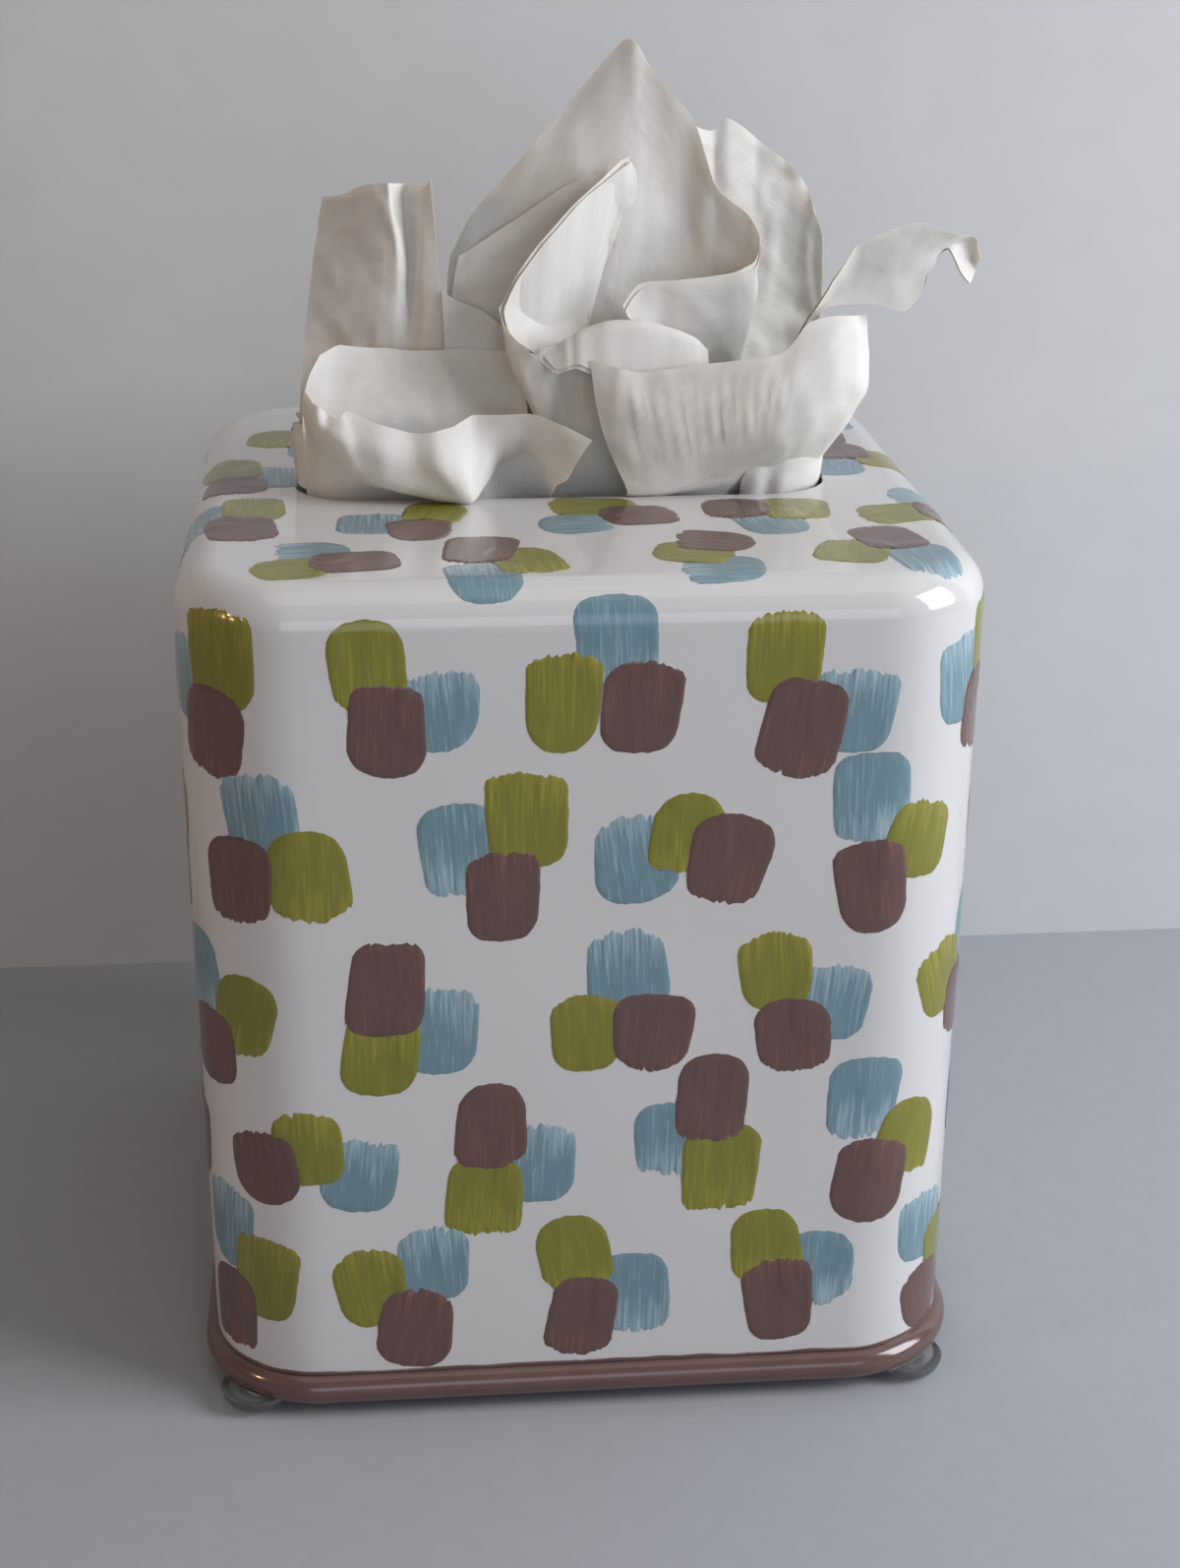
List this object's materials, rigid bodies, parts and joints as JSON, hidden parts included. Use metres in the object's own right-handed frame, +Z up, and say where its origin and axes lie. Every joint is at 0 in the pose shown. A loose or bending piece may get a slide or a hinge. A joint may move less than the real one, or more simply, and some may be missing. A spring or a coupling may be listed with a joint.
{
  "type": "tissue box cover",
  "caption": "Square lift-off tissue box cover in enamelled steel with a rolled base rim, clear feet and a slot in the top, over a cube tissue refill with tissues pulled up.",
  "frame": {"origin": "centre of the base, on the table that the feet and the refill carton stand on", "axes": "+Z up, -Y out of the front that the picture shows, +X to the viewer's right"},
  "size_m": [0.1386, 0.1386, 0.229],
  "materials": {
    "white_enamel": "gloss",
    "brown_enamel": "gloss",
    "olive_enamel": "gloss",
    "blue_enamel": "gloss",
    "steel_wire": "satin",
    "clear_vinyl": "gloss",
    "adhesive": "matte",
    "carton_board": "satin",
    "tissue_paper": "matte"
  },
  "bodies": {
    "refill": {"refill_carton": "carton_board", "folded_tissues": "tissue_paper"},
    "cover": {"cover_shell": "white_enamel", "base_rim": "brown_enamel", "rim_wire": "steel_wire", "foot_front_left": "clear_vinyl", "foot_front_right": "clear_vinyl", "foot_back_left": "clear_vinyl", "foot_back_right": "clear_vinyl", "foot_adhesive": "adhesive"},
    "tissues": {"tissue_rear": "tissue_paper", "tissue_peak": "tissue_paper", "tissue_inner": "tissue_paper", "tissue_front": "tissue_paper"}
  },
  "joints": [
    {"name": "lift_cover", "type": "slide", "parent": "refill", "child": "cover", "axis": [0, 0, 1], "range_m": [0, 0.16]},
    {"name": "pull_tissue", "type": "slide", "parent": "cover", "child": "tissues", "axis": [0, 0, 1], "range_m": [0, 0.12]}
  ]
}
